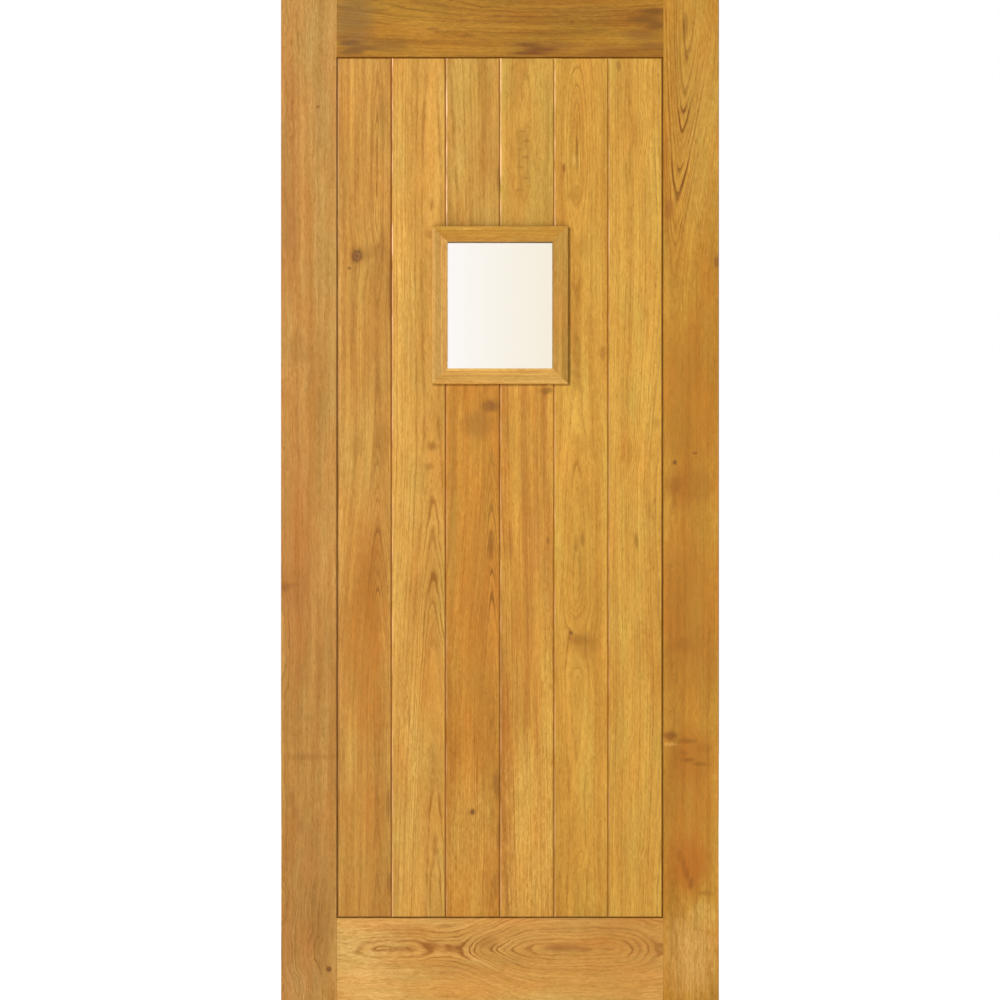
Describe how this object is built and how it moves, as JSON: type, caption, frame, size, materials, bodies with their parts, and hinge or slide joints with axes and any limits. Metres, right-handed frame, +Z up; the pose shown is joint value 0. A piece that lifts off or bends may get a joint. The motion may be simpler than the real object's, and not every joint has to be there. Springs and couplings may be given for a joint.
{
  "type": "oak exterior door leaf",
  "caption": "Upright oak door leaf: a framed panel of V-jointed boards with a small glazed light between mitred beads, ready for hinges, lock and handle.",
  "frame": {"origin": "middle of the leaf's bottom edge, in its mid-plane", "axes": "+X to the right as seen from outside, +Y from the outside face to the inside face, +Z up"},
  "size_m": [0.864, 0.063, 1.981],
  "materials": {
    "oak_frame": "oiled oak, golden",
    "oak_boards": "oiled oak, golden",
    "oak_beads": "oiled oak, golden",
    "core": "raw plywood",
    "glass": "clear float glass",
    "spacer": "mill aluminium",
    "sealant": "black polysulphide",
    "glazing_tape": "dark brown foam tape",
    "plastic_blocks": "moulded polypropylene",
    "steel_pins": "bright steel"
  },
  "bodies": {
    "root": {"back_board_1": "oak_boards", "back_board_2": "oak_boards", "back_board_3_lower": "oak_boards", "back_board_3_upper": "oak_boards", "back_board_4_lower": "oak_boards", "back_board_4_upper": "oak_boards", "back_board_5": "oak_boards", "back_board_6": "oak_boards", "bottom_rail": "oak_frame", "bottom_rail_wedges": "oak_frame", "core_panel": "core", "edge_sealant": "sealant", "front_board_1": "oak_boards", "front_board_2": "oak_boards", "front_board_3_lower": "oak_boards", "front_board_3_upper": "oak_boards", "front_board_4_lower": "oak_boards", "front_board_4_upper": "oak_boards", "front_board_5": "oak_boards", "front_board_6": "oak_boards", "inner_bead_foot": "oak_beads", "inner_bead_head": "oak_beads", "inner_bead_left": "oak_beads", "inner_bead_pins": "steel_pins", "inner_bead_right": "oak_beads", "inner_glazing_tape": "glazing_tape", "inner_pane": "glass", "left_stile": "oak_frame", "light_foot_trimmer": "oak_frame", "light_head_trimmer": "oak_frame", "light_left_trimmer": "oak_frame", "light_right_trimmer": "oak_frame", "location_blocks": "plastic_blocks", "outer_bead_foot": "oak_beads", "outer_bead_head": "oak_beads", "outer_bead_left": "oak_beads", "outer_bead_right": "oak_beads", "outer_glazing_tape": "glazing_tape", "outer_pane": "glass", "right_stile": "oak_frame", "setting_blocks": "plastic_blocks", "spacer_bar": "spacer", "top_rail": "oak_frame", "top_rail_wedges": "oak_frame"}
  },
  "joints": []
}
